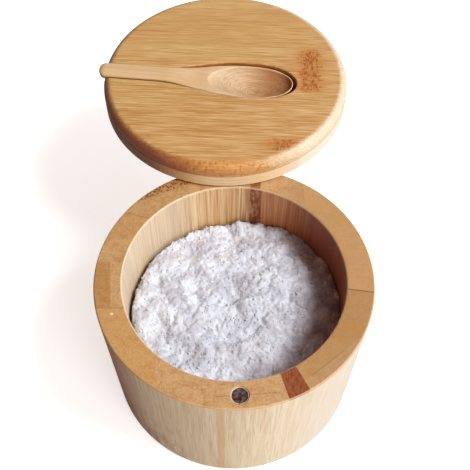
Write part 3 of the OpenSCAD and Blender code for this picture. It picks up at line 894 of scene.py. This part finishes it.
# ---------------------------------------------------------------- small parts
def build_small():
    disc = [(0, 0.0), (2.2, 0.0), (2.45, 0.25), (2.45, 2.75), (2.2, 3.0), (1.2, 3.0), (0, 3.0)]
    mag = lathe("magnet_front", [(r, z + 56.7) for r, z in disc], (0, -R_PIN), 64)
    mag2 = lathe("magnet_lid", [(r, z + 60.7) for r, z in disc], (0, LID_CY + R_PIN), 64)
    m = metal_material("magnet", lin(92, 76, 74), lin(150, 134, 130), 0.38, 0.55)
    for o in (mag, mag2):
        crisp(o)
        paint(o, m)
    g = [(2.47, 57.2), (2.69, 57.2), (2.69, 59.62), (2.60, 59.72), (2.50, 59.66), (2.47, 59.5)]
    glue = lathe("glue_ring_front", g, (0, -R_PIN), 64, keep=True)
    glue2 = lathe("glue_ring_lid", [(2.47, 63.2), (2.47, 61.0), (2.53, 60.86), (2.62, 60.84), (2.69, 60.9), (2.69, 63.2)], (0, LID_CY + R_PIN), 64, keep=True)
    gm = glue_material()
    for o in (glue, glue2):
        crisp(o)
        paint(o, gm)
    pin = lathe("pin_steel", [(0, 40.05), (1.7, 40.05), (1.98, 40.35), (1.98, 64.0), (3.0, 64.0), (3.1, 64.1), (3.1, 65.0), (3.0, 65.1), (0, 65.1)], (0, R_PIN), 64)
    crisp(pin)
    paint(pin, metal_material("pin_steel", lin(150, 150, 152), lin(205, 205, 208), 0.25, 0.4))
    bush = lathe("bush_brass", [(2.04, 60.05), (4.2, 60.05), (4.3, 60.15), (4.3, 60.39), (3.49, 60.39), (3.49, 63.9), (2.04, 63.9)], (0, R_PIN), 64, keep=True)
    crisp(bush)
    paint(bush, metal_material("bush_brass", lin(168, 132, 70), lin(214, 182, 110), 0.3, 0.45))
    return mag, mag2, glue, glue2, pin, bush


wall = build_wall()
base = build_base()
lid_top, lid_low = build_lid()
spoon = build_spoon()
salt = build_salt()
mag, mag2, glue, glue2, pin, bush = build_small()

for ob, body, node, slot in (
    (wall, "box", "box_wall", "bamboo_box"),
    (base, "box", "base_plate", "bamboo_base"),
    (salt, "box", "salt", "salt"),
    (mag, "box", "box_magnet", "magnet"),
    (pin, "box", "pivot_pin", "pin_steel"),
    (bush, "lid", "pivot_bush", "bush_brass"),
    (lid_low, "lid", "lid_bottom_ply", "bamboo_lid_low"),
    (lid_top, "lid", "lid_top_ply", "bamboo_lid"),
    (mag2, "lid", "lid_magnet", "magnet"),
    (spoon, "spoon", "spoon", "bamboo_spoon"),
):
    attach(ob, body)
    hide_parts(node)
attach(glue, "box")
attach(glue2, "lid")

# ---------------------------------------------------------------- floor, light, camera
bpy.ops.mesh.primitive_plane_add(size=6, location=(0, 0, 0))
floor = bpy.context.object
floor.name = "floor"
paint(floor, floor_material())

scene = bpy.context.scene
scene.view_settings.view_transform = "Standard"
scene.view_settings.look = "None"
scene.view_settings.use_curve_mapping = True
tone = scene.view_settings.curve_mapping
tone.use_clip = False
for x, y in ((0.03, 0.014), (0.06, 0.036), (0.12, 0.092), (0.25, 0.232), (0.5, 0.495)):
    tone.curves[3].points.new(x, y)
tone.update()
world = bpy.data.worlds.new("studio")
world.use_nodes = True
scene.world = world
wt = world.node_tree
back = wt.nodes["Background"]
tc = wt.nodes.new("ShaderNodeTexCoord")
sep = wt.nodes.new("ShaderNodeSeparateXYZ")
wt.links.new(tc.outputs["Generated"], sep.inputs[0])
grad = wt.nodes.new("ShaderNodeMapRange")
grad.interpolation_type = "SMOOTHSTEP"
for k, v in zip((1, 2, 3, 4), (-0.20, 0.9, 0.0, 1.0)):
    grad.inputs[k].default_value = v
wt.links.new(sep.outputs[0], grad.inputs[0])
tint = wt.nodes.new("ShaderNodeMix")
tint.data_type = "RGBA"
wt.links.new(grad.outputs[0], tint.inputs[0])
tint.inputs[6].default_value = (0.170, 0.095, 0.070, 1)
tint.inputs[7].default_value = (0.95, 0.96, 0.98, 1)
sky = wt.nodes.new("ShaderNodeMix")
sky.data_type = "RGBA"
seen = wt.nodes.new("ShaderNodeLightPath")
wt.links.new(seen.outputs["Is Camera Ray"], sky.inputs[0])
wt.links.new(tint.outputs[2], sky.inputs[6])
sky.inputs[7].default_value = (1, 1, 1, 1)
wt.links.new(sky.outputs[2], back.inputs[0])


def area(name, direction, dist, size, power, colour=(1, 1, 1)):
    lamp = bpy.data.lights.new(name, "AREA")
    lamp.shape = "DISK"
    lamp.size = size
    lamp.energy = power
    lamp.color = colour
    ob = bpy.data.objects.new(name, lamp)
    scene.collection.objects.link(ob)
    d = Vector(direction).normalized()
    target = Vector((0, 0.03, 0.05))
    ob.location = target + d * dist
    ob.rotation_euler = (-d).to_track_quat("-Z", "Y").to_euler()
    return ob


el = math.radians(53)
area("key", (0.95 * math.cos(el), -0.31 * math.cos(el), math.sin(el)), 1.2, 0.46, 11.3, (1.0, 0.99, 0.98))
area("front", (0.66, -1.0, 0.46), 1.2, 0.7, 6.2, (1.0, 0.99, 0.98))

cam_data = bpy.data.cameras.new("camera")
cam_data.sensor_width = 36.0
cam_data.lens = 58.8
cam_data.clip_start = 0.01
cam = bpy.data.objects.new("camera", cam_data)
scene.collection.objects.link(cam)
fwd = Vector((0.02575, 0.56467, -0.82492)).normalized()
right = Vector((0.99917, -0.04065, 0.00336))
right = (right - fwd * right.dot(fwd)).normalized()
up = right.cross(fwd)
cam.matrix_world = Matrix(((right.x, up.x, -fwd.x, -0.00568), (right.y, up.y, -fwd.y, -0.12809), (right.z, up.z, -fwd.z, 0.27030), (0, 0, 0, 1)))
scene.camera = cam
